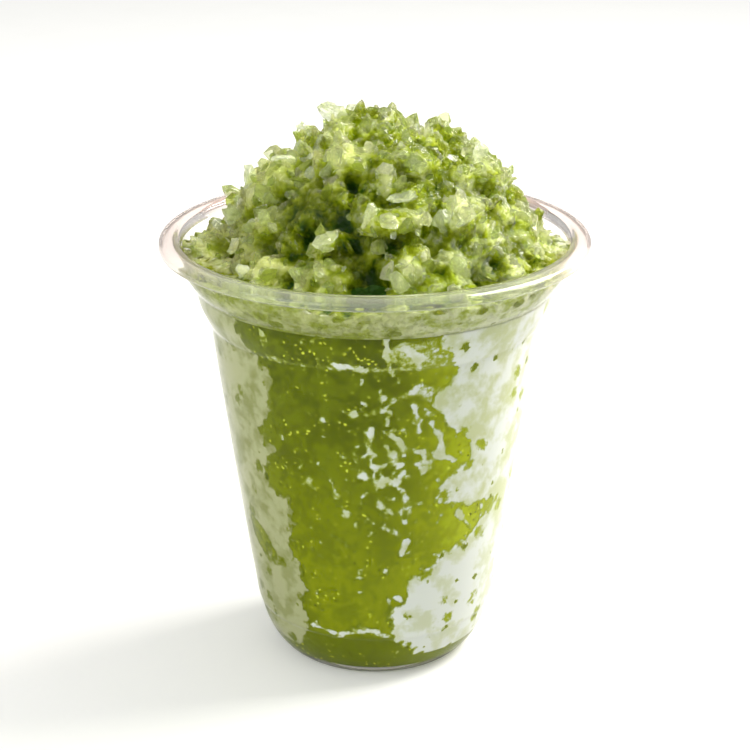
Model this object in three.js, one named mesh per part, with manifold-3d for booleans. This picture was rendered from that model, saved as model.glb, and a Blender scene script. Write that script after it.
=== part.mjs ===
// Kakigori: matcha shaved ice heaped over its clear plastic cup, with milk run down inside the wall.
// Millimetres, +Z up. The origin is on the floor under the middle of the cup, and the front faces -Y.
// Bearings are in degrees round the cup from the front, positive towards +X.
import * as THREE from 'three';
import { mergeVertices } from 'three/addons/utils/BufferGeometryUtils.js';
import Module from 'manifold-3d';

const wasm = await Module();
wasm.setup();

// ---- driving dimensions ---------------------------------------------------------------------------

const SHEET = 0.6;             // thickness of the cup's formed sheet
const GAP = 0.3;               // clearance between neighbouring pieces
const SIDES = 40;              // flats round every turned piece
const FLAT = 360 / SIDES;      // bearing from one flat to the next
const SAME_POINT = 1e-4;       // vertices this close are one

const RECESS = { depth: 2.2, radius: 14.5 };
const FOOT_RING = { inner: 17.5, outer: 20.7 };
const FOOT = { radius: 27.45, height: 11.7, roundness: 1.5, steps: 3 };

// Outside of the wall above the foot: the straight taper, the two stacking ledges and the flare.
const WALL_OUTSIDE = [
  [28.1, 12.5], [30.3, 26.5], [37.85, 81.6],
  [38.5, 82.5], [40.35, 86.5], [41.2, 90.6],
  [41.95, 91.3], [43.66, 94], [44.6, 99.5],
];

const RIM = {
  radius: 49, crest: 45.3, top: 101.5, shoulder: 48, shoulderTop: 101.2, edge: 100.4, lip: 98.8,
  bend: 0.2,                   // how far the bends inside the curl lie from those outside it
};

const FILL_TOP = 89.7;         // where the packed slush ends and the heap begins

const MILK_THICKNESS = 1.2;
const MILK_LOW = 6;
const MILK_TOP = 87.4;
const MILK_ROW = 7.2;          // tallest step between the rows of a milk patch
const MILK_GROWTH = 1.1;       // how far the slush's recess runs past a milk patch
const PATCH_CUT = 0.12;        // least share of a cell's side that the edge of a patch leaves
const RECESS_CUT = 0.02;       // the same for the recess behind it

// The two milk patches. The front edge is a list of [height, bearing], back is the bearing of the back
// edge, and the phases are those of the ripples in both.
const LEFT_PATCH = {
  side: -1,
  edge: [
    [3, -62], [7, -44], [12, -31], [15, -34], [20, -38], [36, -40],
    [46, -42], [54, -50], [60, -46], [71, -44], [80, -46], [90, -50],
  ],
  back: -142,
  phases: { front: 0.4, back: 1.9 },
  hole: { bearing: -55, height: 32.5, radius: 4.6 },
};
const RIGHT_PATCH = {
  side: 1,
  edge: [
    [3, 34], [8, 22], [12, 8], [20, 9], [27, 13], [31, 24], [35, 37], [40, 52], [43.5, 58], [46, 30],
    [49, 22], [53, 28], [57, 37], [62, 34], [66, 26], [74, 21], [80.8, 27], [90, 20],
  ],
  back: 148,
  phases: { front: 2.8, back: 4.1 },
};
const RIPPLE = { front: 0.9, back: 4.5, backStretch: 3 };   // how far the edges wander, in mm
const RIPPLE_WAVES = [{ share: 0.6, length: 2.9, drift: 1 }, { share: 0.4, length: 5.3, drift: 2.3 }];

// The heap's outer form: a dome a little towards the front, whose top leans to one side.
const HEAP = {
  foot: 90, shoulder: 92.3, rise: 36.3, radiusX: 39.7, radiusY: 38.4, centreY: -1.2, leanX: 2.3, leanY: 3.4,
  fullness: 1.84, steepness: 0.6,
};
const CORE = { inset: 3.2, sides: 34, rings: 11 };   // the core lies this far under the outer form
const CORE_RELIEF = { height: 1.3, waves: [[7, 3], [9, -4]] };   // each as [from top to foot, round]

// Ice in the groove between the heap's foot and the wall, lower in the arc behind.
const COLLAR = { inside: 35.5, outside: 45, frontTop: 96.2, backTop: 92.4, front: 116, fade: 12 };
const COLLAR_WAVES = { height: 0.7, round: 9 };

const CLUMPS = { count: 98, longest: 13, shortest: 7 };
const FLAKES = { count: 88, longest: 8.5, shortest: 5 };
const SKIRT = { count: 20, radius: 39.6, low: 92.6, high: 96.4, longest: 8, shortest: 5, jitter: 4 };
const FREE_BACK = { bearing: 62, reach: 36.6, above: 93 };   // clear arc behind the heap, under the rim
const SUNK = 0.3;              // share of a lump's length that lies under the outer form
const SPIRAL_JITTER = 0.4;     // radians
const LENGTH_SKEW = 1.3;       // short lumps are commoner than long ones
const LUMP_WIDTHS = { least: 0.6, most: 0.85 };   // as shares of a lump's length
const LUMP_THICKNESSES = { least: 0.42, most: 0.72 };
const LUMP_STRETCH = { least: 0.82, most: 1.18 };   // of each corner from a lump's middle
const SHORTEST_EDGE = 0.6;     // the joined heap's shorter edges are merged away
const NEGLIGIBLE_EDGE = 0.03;  // a face with an edge this short has no direction worth keeping
const LEAST_AGREEMENT = 0.3;   // cosine between a face's direction before and after a merge
const SEED = 20931;

// The largest chunks, as [x, y, z, length, width, thickness, turn], turned about Z by degrees.
const CHUNKS = [
  [-23.4, -28.0, 101.2, 14.5, 8, 8, 35],
  [-9.5, -34.6, 101.0, 12, 7, 9, 8],
  [7.2, -33.4, 103.2, 12, 8, 12, -30],
  [14.6, -33.6, 100.8, 9, 6, 9, -22],
  [25.6, -26.4, 101.4, 12, 8, 8, -44],
  [3.4, -28.6, 112.0, 15, 6, 5, 12],
  [18.2, -24.0, 111.4, 7, 6, 13, -36],
  [-8.4, -29.8, 108.6, 12, 6, 7, 20],
  [6.6, -13.4, 123.4, 10, 8, 8, -20],
  [-6.4, -12.4, 122.6, 9, 8, 10, 30],
  [2.6, 0.5, 126.6, 12, 9, 7, 10],
  [-8.0, -0.5, 125.8, 9, 7, 7, 70],
  [-22.0, -3.5, 115.6, 13, 10, 9, 60],
  [24.8, -6.0, 116.6, 11, 9, 10, -60],
  [39.2, -3.0, 97.4, 7, 11, 9, 4],
  [-37.6, -8.6, 98.6, 7, 12, 9, -12],
];

// Shadowed hollows between the chunks, as [x, y, z, length, width, thickness, turn].
const HOLLOWS = [
  [-0.8, -37.4, 101.6, 6.5, 12, 12, 0],
  [-15.4, -30.4, 107.6, 19, 12, 9, 28],
  [-26.4, -26.6, 103.6, 8, 10, 8, 44],
];

// ---- materials ------------------------------------------------------------------------------------

const clearPet = new THREE.MeshStandardMaterial({
  color: '#e9ece6', roughness: 0.06, metalness: 0, transparent: true, opacity: 0.3,
});
const matchaSlush = new THREE.MeshStandardMaterial({ color: '#7c8c14', roughness: 0.35, metalness: 0 });
const milk = new THREE.MeshStandardMaterial({ color: '#dfe4d2', roughness: 0.4, metalness: 0 });
const wetIce = new THREE.MeshStandardMaterial({ color: '#a9b86a', roughness: 0.25, metalness: 0 });

// ---- general helpers ------------------------------------------------------------------------------

function seededRandom(seed) {
  let state = seed;
  return () => {
    state = (state + 0x6d2b79f5) | 0;
    let bits = Math.imul(state ^ (state >>> 15), 1 | state);
    bits = (bits + Math.imul(bits ^ (bits >>> 7), 61 | bits)) ^ bits;
    return ((bits ^ (bits >>> 14)) >>> 0) / 4294967296;
  };
}

function toManifold(geometry) {
  const bare = geometry.clone();
  bare.deleteAttribute('normal');
  bare.deleteAttribute('uv');
  const merged = mergeVertices(bare, SAME_POINT);
  const corners = Array.from(merged.index.array);
  const kept = [];
  for (let i = 0; i < corners.length; i += 3) {
    const [a, b, c] = corners.slice(i, i + 3);
    if (a !== b && b !== c && c !== a) kept.push(a, b, c);
  }
  const vertProperties = new Float32Array(merged.attributes.position.array);
  return new wasm.Manifold(new wasm.Mesh({ numProp: 3, vertProperties, triVerts: new Uint32Array(kept) }));
}

function toGeometry(vertices, triangles) {
  const geometry = new THREE.BufferGeometry();
  geometry.setAttribute('position', new THREE.BufferAttribute(new Float32Array(vertices), 3));
  geometry.setIndex(Array.from(triangles));
  return geometry;
}

// The shell with the most triangles: closed pockets are filled and loose scraps dropped.
function largestShell(manifold) {
  const { vertProperties, triVerts } = manifold.getMesh();
  const parent = Array.from({ length: vertProperties.length / 3 }, (_, i) => i);
  const find = (i) => {
    while (parent[i] !== i) i = parent[i] = parent[parent[i]];
    return i;
  };
  for (let i = 0; i < triVerts.length; i += 3) {
    parent[find(triVerts[i + 1])] = find(triVerts[i]);
    parent[find(triVerts[i + 2])] = find(triVerts[i]);
  }
  const shells = new Map();
  for (let i = 0; i < triVerts.length; i += 3) {
    const root = find(triVerts[i]);
    if (!shells.has(root)) shells.set(root, []);
    shells.get(root).push(triVerts[i], triVerts[i + 1], triVerts[i + 2]);
  }
  const largest = [...shells.values()].sort((a, b) => b.length - a.length)[0];
  const used = new Map();
  const vertices = [];
  const triangles = largest.map((vertex) => {
    if (!used.has(vertex)) {
      used.set(vertex, used.size);
      vertices.push(...vertProperties.slice(3 * vertex, 3 * vertex + 3));
    }
    return used.get(vertex);
  });
  return toGeometry(vertices, triangles);
}

// A mesh whose edges can be merged away one by one while its surface stays closed.
class EditableMesh {
  constructor(geometry) {
    const position = geometry.attributes.position;
    this.points = Array.from({ length: position.count }, (_, i) => (
      new THREE.Vector3().fromBufferAttribute(position, i)
    ));
    this.faces = [];
    this.facesAt = this.points.map(() => new Set());
    for (let i = 0; i < geometry.index.count; i += 3) {
      const face = Array.from(geometry.index.array.slice(i, i + 3));
      face.forEach((vertex) => this.facesAt[vertex].add(this.faces.length));
      this.faces.push(face);
    }
  }

  neighbours(vertex) {
    const found = new Set();
    this.facesAt[vertex].forEach((face) => this.faces[face].forEach((other) => found.add(other)));
    found.delete(vertex);
    return found;
  }

  normal(corners) {
    return new THREE.Triangle(...corners.map((vertex) => this.points[vertex])).getNormal(new THREE.Vector3());
  }

  // True if the faces round one vertex keep facing the same way once it lies on the other.
  keepsFacing(moved, kept) {
    if (this.points[moved].distanceTo(this.points[kept]) < NEGLIGIBLE_EDGE) return true;
    return [...this.facesAt[moved]].every((index) => {
      const face = this.faces[index];
      if (face.includes(kept)) return true;
      const after = face.map((vertex) => (vertex === moved ? kept : vertex));
      return this.normal(face).dot(this.normal(after)) > LEAST_AGREEMENT;
    });
  }

  merge(moved, kept) {
    const around = this.neighbours(kept);
    const shared = [...this.neighbours(moved)].filter((vertex) => around.has(vertex));
    if (shared.length !== 2 || !this.keepsFacing(moved, kept)) return false;
    this.facesAt[moved].forEach((index) => {
      const face = this.faces[index];
      if (face.includes(kept)) {
        face.forEach((vertex) => vertex !== moved && this.facesAt[vertex].delete(index));
        this.faces[index] = null;
      } else {
        face[face.indexOf(moved)] = kept;
        this.facesAt[kept].add(index);
      }
    });
    this.facesAt[moved].clear();
    return true;
  }

  mergeShortEdges(shortest) {
    let merged = true;
    while (merged) {
      merged = false;
      for (let index = 0; index < this.faces.length; index += 1) {
        for (let i = 0; i < 3 && this.faces[index]; i += 1) {
          const [from, to] = [this.faces[index][i], this.faces[index][(i + 1) % 3]];
          const short = this.points[from].distanceTo(this.points[to]) < shortest;
          if (short && (this.merge(from, to) || this.merge(to, from))) merged = true;
        }
      }
    }
    return this;
  }

  geometry() {
    const vertices = this.points.flatMap((point) => point.toArray());
    const mesh = toGeometry(vertices, this.faces.filter(Boolean).flat());
    return mergeVertices(mesh.toNonIndexed(), SAME_POINT);
  }
}

// Turns a closed outline of [radius, height] about +Z. The outline runs upwards on its outer side.
function turned(outline, sides = SIDES) {
  const points = outline.map(([radius, height]) => new THREE.Vector2(radius, height));
  return new THREE.LatheGeometry(points, sides).rotateX(Math.PI / 2);
}

function interpolate(knots, at) {
  if (at <= knots[0][0]) return knots[0][1];
  for (let i = 1; i < knots.length; i += 1) {
    const [fromAt, fromValue] = knots[i - 1];
    const [toAt, toValue] = knots[i];
    if (at <= toAt) return fromValue + (toValue - fromValue) * (at - fromAt) / (toAt - fromAt);
  }
  return knots[knots.length - 1][1];
}

// ---- the cup --------------------------------------------------------------------------------------

// Quarter of a superellipse from the foot ring up to the wall.
function footRounding() {
  const points = [];
  for (let i = 0; i <= FOOT.steps; i += 1) {
    const turn = (i / FOOT.steps) * Math.PI / 2;
    const out = Math.sin(turn) ** (2 / FOOT.roundness);
    const up = 1 - Math.cos(turn) ** (2 / FOOT.roundness);
    points.push([
      FOOT_RING.outer + (FOOT.radius - FOOT_RING.outer) * out,
      FOOT.height * up,
    ]);
  }
  return points;
}

const outside = [...footRounding(), ...WALL_OUTSIDE];

// The side of the outline, moved inwards by a distance, from where it meets the floor moved up as far.
function sideMovedIn(distance) {
  const floor = RECESS.depth + distance;
  const moved = outside.map(([radius, height]) => [radius - distance, height]);
  const cornerRadius = interpolate(moved.map(([radius, height]) => [height, radius]), floor);
  return [[cornerRadius, floor], ...moved.filter(([, height]) => height > floor)];
}

function radiusInside(height, distance) {
  return interpolate(sideMovedIn(distance).map(([radius, level]) => [level, radius]), height);
}

function cupOutline() {
  const wallTop = outside[outside.length - 1];
  const under = [
    [0, RECESS.depth], [RECESS.radius, RECESS.depth], [FOOT_RING.inner, 0],
  ];
  const curl = [
    [RIM.crest + RIM.bend, RIM.top - SHEET], [RIM.shoulder - RIM.bend, RIM.shoulderTop - SHEET],
    [RIM.radius - SHEET, RIM.edge - 2 * RIM.bend], [RIM.radius - SHEET, RIM.lip], [RIM.radius, RIM.lip],
    [RIM.radius, RIM.edge], [RIM.shoulder, RIM.shoulderTop], [RIM.crest, RIM.top],
    [wallTop[0] - SHEET / 2, RIM.top - SHEET],
  ];
  return [...under, ...outside, ...curl, ...sideMovedIn(SHEET).reverse(), [0, RECESS.depth + SHEET]];
}

// ---- the packed slush and the milk against the wall -----------------------------------------------

const FILL_INSET = SHEET + GAP;

function slushOutline() {
  const side = sideMovedIn(FILL_INSET).filter(([, height]) => height < FILL_TOP);
  const top = [radiusInside(FILL_TOP, FILL_INSET), FILL_TOP];
  return [[0, RECESS.depth + FILL_INSET], ...side, top, [0, FILL_TOP]];
}

// Rows at every bend of the wall, with the long stretches divided.
function milkRows() {
  const levels = [...new Set(slushOutline().map(([, height]) => height))].sort((a, b) => a - b);
  const rows = [levels[0]];
  for (let i = 1; i < levels.length; i += 1) {
    const pieces = Math.ceil((levels[i] - levels[i - 1]) / MILK_ROW);
    for (let k = 1; k <= pieces; k += 1) {
      rows.push(levels[i - 1] + (levels[i] - levels[i - 1]) * k / pieces);
    }
  }
  return rows;
}

function ripple(height, phase) {
  return RIPPLE_WAVES.reduce((sum, { share, length, drift }) => (
    sum + share * Math.sin(height / length + drift * phase)
  ), 0);
}

function mmPerDegree(height) {
  return radiusInside(height, FILL_INSET) * Math.PI / 180;
}

// Distance in mm from a slanting edge, positive towards larger bearings.
function pastEdge(edge, bearing, height) {
  const slope = (interpolate(edge, height + 1) - interpolate(edge, height - 1)) / 2 * mmPerDegree(height);
  return (bearing - interpolate(edge, height)) * mmPerDegree(height) / Math.hypot(1, slope);
}

function pastHole(hole, bearing, height) {
  if (!hole) return Infinity;
  return Math.hypot((bearing - hole.bearing) * mmPerDegree(height), height - hole.height) - hole.radius;
}

// Distance in mm inside a patch: positive on milk, negative on slush.
function milkField({ side, edge, back, phases, hole }) {
  return (bearing, height) => Math.min(
    side * pastEdge(edge, bearing, height) + RIPPLE.front * ripple(height, phases.front),
    side * (back - bearing) * mmPerDegree(height)
      + RIPPLE.back * ripple(height / RIPPLE.backStretch, phases.back),
    pastHole(hole, bearing, height),
    height - MILK_LOW,
    MILK_TOP - height,
  );
}

// A curved slab against the wall, wherever the field is positive: each cell of a bearing-by-height grid
// is clipped to the field, and the slab's rim closes the edges that no second cell shares.
function wallSlab(field, growth, outerInset, innerInset, nearest) {
  const rows = milkRows();
  const corners = [];
  const key = new Map();
  const vertex = (name, make) => {
    if (!key.has(name)) {
      key.set(name, corners.length);
      corners.push(make());
    }
    return key.get(name);
  };
  const triangles = [];
  for (let column = -SIDES / 2; column < SIDES / 2; column += 1) {
    for (let row = 0; row + 1 < rows.length; row += 1) {
      const cell = [[column, row], [column + 1, row], [column + 1, row + 1], [column, row + 1]];
      const values = cell.map(([c, r]) => field(c * FLAT, rows[r]) + growth);
      const loop = [];
      for (let i = 0; i < 4; i += 1) {
        const next = (i + 1) % 4;
        const [from, to] = [cell[i], cell[next]];
        if (values[i] > 0) loop.push(vertex(`${from}`, () => [from[0] * FLAT, rows[from[1]]]));
        if (values[i] > 0 === values[next] > 0) continue;
        const [inside, out, start, end] = values[i] > 0
          ? [from, to, values[i], values[next]]
          : [to, from, values[next], values[i]];
        const share = THREE.MathUtils.clamp(start / (start - end), nearest, 1 - nearest);
        loop.push(vertex(`${inside}>${out}`, () => [
          THREE.MathUtils.lerp(inside[0], out[0], share) * FLAT,
          THREE.MathUtils.lerp(rows[inside[1]], rows[out[1]], share),
        ]));
      }
      for (let i = 2; i < loop.length; i += 1) triangles.push([loop[0], loop[i - 1], loop[i]]);
    }
  }
  return closeSlab(corners, triangles, outerInset, innerInset);
}

// The flats' planes, so that a point between two columns lies on the straight side of the polygon.
function pointOnFlat(bearing, height, inset) {
  const radius = radiusInside(height, inset);
  const column = Math.floor(bearing / FLAT + SAME_POINT);
  const share = bearing / FLAT - column;
  const [from, to] = [column, column + 1].map((c) => {
    const angle = THREE.MathUtils.degToRad(c * FLAT);
    return new THREE.Vector3(radius * Math.sin(angle), -radius * Math.cos(angle), height);
  });
  return from.lerp(to, share).toArray();
}

function closeSlab(corners, outerFaces, outerInset, innerInset) {
  const vertices = [];
  corners.forEach(([bearing, height]) => vertices.push(...pointOnFlat(bearing, height, outerInset)));
  corners.forEach(([bearing, height]) => vertices.push(...pointOnFlat(bearing, height, innerInset)));
  const under = corners.length;
  const edges = new Set();
  outerFaces.forEach(([a, b, c]) => [[a, b], [b, c], [c, a]].forEach(([p, q]) => edges.add(`${p},${q}`)));
  const triangles = [];
  outerFaces.forEach(([a, b, c]) => {
    triangles.push(a, b, c, c + under, b + under, a + under);
  });
  edges.forEach((edge) => {
    const [p, q] = edge.split(',').map(Number);
    if (!edges.has(`${q},${p}`)) triangles.push(q, p, p + under, q, p + under, q + under);
  });
  return toGeometry(vertices, triangles);
}

const milkInset = FILL_INSET + MILK_THICKNESS;

function milkPatch(patch) {
  return largestShell(toManifold(wallSlab(milkField(patch), 0, FILL_INSET, milkInset, PATCH_CUT)));
}

function milkRecess(patch) {
  const outerInset = FILL_INSET - 2 * GAP;
  return toManifold(wallSlab(milkField(patch), MILK_GROWTH, outerInset, milkInset + GAP, RECESS_CUT));
}

function slushSolid() {
  const whole = toManifold(turned(slushOutline()));
  return largestShell(whole.subtract(milkRecess(LEFT_PATCH)).subtract(milkRecess(RIGHT_PATCH)));
}

// ---- the heap of shaved ice -----------------------------------------------------------------------

// Point of the heap's outer form: share 0 is the top and 1 the foot; depth moves it inwards.
function heapPoint(share, angle, depth = 0) {
  const lean = 1 - share ** 2;
  const radius = (full) => Math.max(full - depth, 0) * share;
  const height = HEAP.rise * Math.max(0, 1 - share ** HEAP.fullness) ** HEAP.steepness;
  return new THREE.Vector3(
    HEAP.leanX * lean + radius(HEAP.radiusX) * Math.cos(angle),
    HEAP.centreY + HEAP.leanY * lean + radius(HEAP.radiusY) * Math.sin(angle),
    HEAP.shoulder + height * (1 - depth / HEAP.rise),
  );
}

function coreRelief(share, angle) {
  return CORE_RELIEF.waves.reduce((product, [down, round]) => (
    product * Math.sin(down * share + round * angle)
  ), CORE_RELIEF.height);
}

function heapCore() {
  const outline = [[0, 0], [1, 0]];
  for (let i = 0; i < CORE.rings; i += 1) outline.push([1 - i / CORE.rings, 1]);
  outline.push([0, 1]);
  const geometry = turned(outline, CORE.sides);
  const position = geometry.attributes.position;
  for (let i = 0; i < position.count; i += 1) {
    const share = Math.hypot(position.getX(i), position.getY(i));
    const angle = Math.atan2(position.getY(i), position.getX(i));
    const point = heapPoint(share, angle, CORE.inset);
    const onTop = position.getZ(i) > 0.5;
    position.setXYZ(i, point.x, point.y, onTop ? point.z + coreRelief(share, angle) : HEAP.foot);
  }
  return toManifold(geometry);
}

// Size of the bearing of a point, from 0 at the front to 180 behind.
function turnFromFront(x, y) {
  return Math.abs(THREE.MathUtils.radToDeg(Math.atan2(x, -y)));
}

// A ring with an uneven top, high at the front and sides. It runs past the wall, for the cup's room to cut.
function collar() {
  const { inside, outside: past, frontTop, backTop, front, fade } = COLLAR;
  const section = [
    [inside, HEAP.foot], [past, HEAP.foot], [past, frontTop], [inside, frontTop], [inside, HEAP.foot],
  ];
  const geometry = turned(section);
  const position = geometry.attributes.position;
  for (let i = 0; i < position.count; i += 1) {
    const [x, y, z] = position.array.slice(3 * i, 3 * i + 3);
    if (z < (HEAP.foot + frontTop) / 2) continue;
    const share = THREE.MathUtils.smoothstep(front - turnFromFront(x, y), -fade, fade);
    const wave = COLLAR_WAVES.height * Math.sin(COLLAR_WAVES.round * Math.atan2(x, -y));
    position.setZ(i, THREE.MathUtils.lerp(backTop, frontTop + wave, share));
  }
  return toManifold(geometry);
}

function seededTurn(random) {
  const [x, y, z, w] = [random() - 0.5, random() - 0.5, random() - 0.5, random() - 0.5];
  return new THREE.Quaternion(x, y, z, w).normalize();
}

function between({ least, most }, share) {
  return least + (most - least) * share;
}

// An irregular lump with a few flat faces, of a given length, width and thickness.
function lump(random, shape, size, turn, place) {
  const bare = shape.clone();
  bare.deleteAttribute('normal');
  bare.deleteAttribute('uv');
  const geometry = mergeVertices(bare, SAME_POINT);
  const position = geometry.attributes.position;
  for (let i = 0; i < position.count; i += 1) {
    const stretch = between(LUMP_STRETCH, random());
    position.setXYZ(i, position.getX(i) * stretch, position.getY(i) * stretch, position.getZ(i) * stretch);
  }
  geometry.applyQuaternion(seededTurn(random));
  geometry.scale(...size);
  geometry.applyQuaternion(turn);
  geometry.translate(place.x, place.y, place.z);
  return toManifold(geometry);
}

const CLUMP_SHAPE = new THREE.IcosahedronGeometry(0.5, 0);
const FLAKE_SHAPE = new THREE.OctahedronGeometry(0.5, 0);

function drawnSize(random, kind) {
  const length = between({ least: kind.shortest, most: kind.longest }, random() ** LENGTH_SKEW);
  return [length, length * between(LUMP_WIDTHS, random()), length * between(LUMP_THICKNESSES, random())];
}

function inHollow(place) {
  return HOLLOWS.some(([x, y, z, length, width, thickness]) => {
    const meanRadius = (length + width + thickness) / 3 / 2;
    return place.distanceTo(new THREE.Vector3(x, y, z)) < meanRadius;
  });
}

// Keeps the arc behind the heap clear, between the ice and the flare under the rim.
function clearOfBack(place, length) {
  const farthest = FREE_BACK.reach - length / 2;
  const radius = Math.hypot(place.x, place.y);
  const front = turnFromFront(place.x, place.y) < 180 - FREE_BACK.bearing;
  if (front || place.z < FREE_BACK.above || radius <= farthest) return place;
  return new THREE.Vector3(place.x * farthest / radius, place.y * farthest / radius, place.z);
}

// Lumps spread evenly over the heap's form along a golden-angle spiral, as over half a ball.
function scattered(random, kind, shape) {
  const goldenAngle = Math.PI * (3 - Math.sqrt(5));
  const lumps = [];
  for (let i = 0; i < kind.count; i += 1) {
    const size = drawnSize(random, kind);
    const level = 1 - (i + 0.5) / kind.count;
    const share = Math.sqrt(1 - level ** 2);
    const angle = i * goldenAngle + SPIRAL_JITTER * random();
    const place = clearOfBack(heapPoint(share, angle, SUNK * size[0]), size[0]);
    const turn = seededTurn(random);
    const solid = lump(random, shape, size, turn, place);
    if (!inHollow(place)) lumps.push(solid);
  }
  return lumps;
}

// Lumps pressed against the wall all round, apart from the clear arc behind.
function skirt(random) {
  const lumps = [];
  const arc = 2 * (180 - FREE_BACK.bearing);
  for (let i = 0; i < SKIRT.count; i += 1) {
    const along = (i / (SKIRT.count - 1) - 0.5) * arc;
    const bearing = THREE.MathUtils.degToRad(along + SKIRT.jitter * (random() - 0.5));
    const height = SKIRT.low + (SKIRT.high - SKIRT.low) * random();
    const [across, back] = [SKIRT.radius * Math.sin(bearing), -SKIRT.radius * Math.cos(bearing)];
    const place = new THREE.Vector3(across, back, height);
    lumps.push(lump(random, CLUMP_SHAPE, drawnSize(random, SKIRT), seededTurn(random), place));
  }
  return lumps;
}

function placed(random, rows) {
  return rows.map(([x, y, z, length, width, thickness, turn]) => {
    const about = new THREE.Quaternion();
    about.setFromAxisAngle(new THREE.Vector3(0, 0, 1), THREE.MathUtils.degToRad(turn));
    return lump(random, CLUMP_SHAPE, [length, width, thickness], about, new THREE.Vector3(x, y, z));
  });
}

// The room that the cup leaves the heap, from the slush up past the rim.
function roomInCup() {
  const side = sideMovedIn(FILL_INSET).filter(([, height]) => height > HEAP.foot);
  const top = HEAP.shoulder + HEAP.rise + 2 * CLUMPS.longest;
  const widest = side[side.length - 1][0];
  const foot = [radiusInside(HEAP.foot, FILL_INSET), HEAP.foot];
  return toManifold(turned([[0, HEAP.foot], foot, ...side, [widest, top], [0, top]]));
}

function heapSolid() {
  const random = seededRandom(SEED);
  let heap = heapCore().add(collar());
  placed(random, HOLLOWS).forEach((hollow) => {
    heap = heap.subtract(hollow);
  });
  const lumps = [
    ...placed(random, CHUNKS),
    ...scattered(random, CLUMPS, CLUMP_SHAPE),
    ...scattered(random, FLAKES, FLAKE_SHAPE),
    ...skirt(random),
  ];
  lumps.forEach((solid) => {
    heap = heap.add(solid);
  });
  const inCup = new EditableMesh(largestShell(heap.intersect(roomInCup())));
  return inCup.mergeShortEdges(SHORTEST_EDGE).geometry();
}

// ---- the object -----------------------------------------------------------------------------------

function piece(name, geometry, material) {
  const mesh = new THREE.Mesh(geometry, material);
  mesh.name = name;
  return mesh;
}

const kakigori = new THREE.Group();
kakigori.add(piece('cup', largestShell(toManifold(turned(cupOutline()))), clearPet));
kakigori.add(piece('matcha_slush', slushSolid(), matchaSlush));
kakigori.add(piece('milk_left', milkPatch(LEFT_PATCH), milk));
kakigori.add(piece('milk_right', milkPatch(RIGHT_PATCH), milk));
kakigori.add(piece('shaved_ice', heapSolid(), wetIce));

export default kakigori;
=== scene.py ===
"""Kakigori: matcha shaved ice heaped over its clear plastic cup, with milk run down inside the wall.

Metres, +Z up. The origin is on the floor under the middle of the cup, and the front faces -Y.
Sizes are written in millimetres and turned to metres where a mesh is made. Bearings are in degrees
round the cup from the front, positive towards +X.
"""

import math

import bmesh
import bpy
import numpy as np
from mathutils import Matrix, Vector, noise


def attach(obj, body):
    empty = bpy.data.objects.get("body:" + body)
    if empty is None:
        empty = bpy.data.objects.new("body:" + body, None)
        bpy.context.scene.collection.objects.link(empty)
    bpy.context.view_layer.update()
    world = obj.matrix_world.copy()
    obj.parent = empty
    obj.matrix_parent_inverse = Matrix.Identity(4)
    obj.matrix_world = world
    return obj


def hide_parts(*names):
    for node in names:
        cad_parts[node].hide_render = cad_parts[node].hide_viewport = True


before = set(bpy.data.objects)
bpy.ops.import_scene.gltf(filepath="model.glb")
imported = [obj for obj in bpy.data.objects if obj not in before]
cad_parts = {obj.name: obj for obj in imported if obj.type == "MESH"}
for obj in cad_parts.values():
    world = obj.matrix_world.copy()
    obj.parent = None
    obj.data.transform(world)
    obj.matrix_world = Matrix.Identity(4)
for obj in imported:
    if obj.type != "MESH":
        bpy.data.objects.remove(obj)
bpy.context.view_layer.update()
scene = bpy.context.scene

# ---- Camera -----------------------------------------------------------------------------------------
# A camera 45 cm in front of the cup, looking down on it by 21 degrees through a long lens.

CAMERA_PLACE = (0, -450, 238.1)
CAMERA_PITCH = 20.87
CAMERA_LENS = 99.35
CAMERA_FILM = 36
MM = 0.001


def new_object(name, data):
    """A new object, linked to the scene."""
    made = bpy.data.objects.new(name, data)
    scene.collection.objects.link(made)
    return made


camera_data = bpy.data.cameras.new("camera")
camera_data.lens = CAMERA_LENS
camera_data.sensor_width = CAMERA_FILM
camera = new_object("camera", camera_data)
camera.location = [MM * value for value in CAMERA_PLACE]
camera.rotation_euler = (math.radians(90 - CAMERA_PITCH), 0, 0)
scene.camera = camera

# ---- Floor and light --------------------------------------------------------------------------------
# A white sweep of matt paper under and behind the cup. A large soft lamp stands to the right and behind,
# and a weak one to the left fills the shade, inside a tent of white cloth.

PAPER_WHITE = "#fbfbfa"
PAPER_GLOW = 0.2
PAPER_CLOUD = 25
FLOOR_SIZE = 6000
TENT_WHITE, TENT_STRENGTH = "#fdfdfb", 0.6
CUP_MIDDLE = (0, 0, 70)


def linear(code):
    """An sRGB hex colour as linear RGBA."""
    channels = [int(code[i:i + 2], 16) / 255 for i in (1, 3, 5)]
    return [c / 12.92 if c <= 0.04045 else ((c + 0.055) / 1.055) ** 2.4 for c in channels] + [1.0]


def add(tree, kind, inputs=None, **settings):
    """Adds a node, sets its properties, and fills its inputs with values, hex colours or nodes' sockets."""
    made = tree.nodes.new(kind)
    for name, value in settings.items():
        setattr(made, name, value)
    for key, value in (inputs or {}).items():
        if isinstance(value, bpy.types.NodeSocket):
            tree.links.new(value, made.inputs[key])
        elif isinstance(value, str) and value.startswith("#"):
            made.inputs[key].default_value = linear(value)
        else:
            made.inputs[key].default_value = value
    return made


def new_material(name):
    """An empty node material, its tree, and the places on the piece that its patterns start from."""
    material = bpy.data.materials.new(name)
    material.use_nodes = True
    tree = material.node_tree
    tree.nodes.clear()
    return material, tree, add(tree, "ShaderNodeTexCoord").outputs["Object"]


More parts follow.
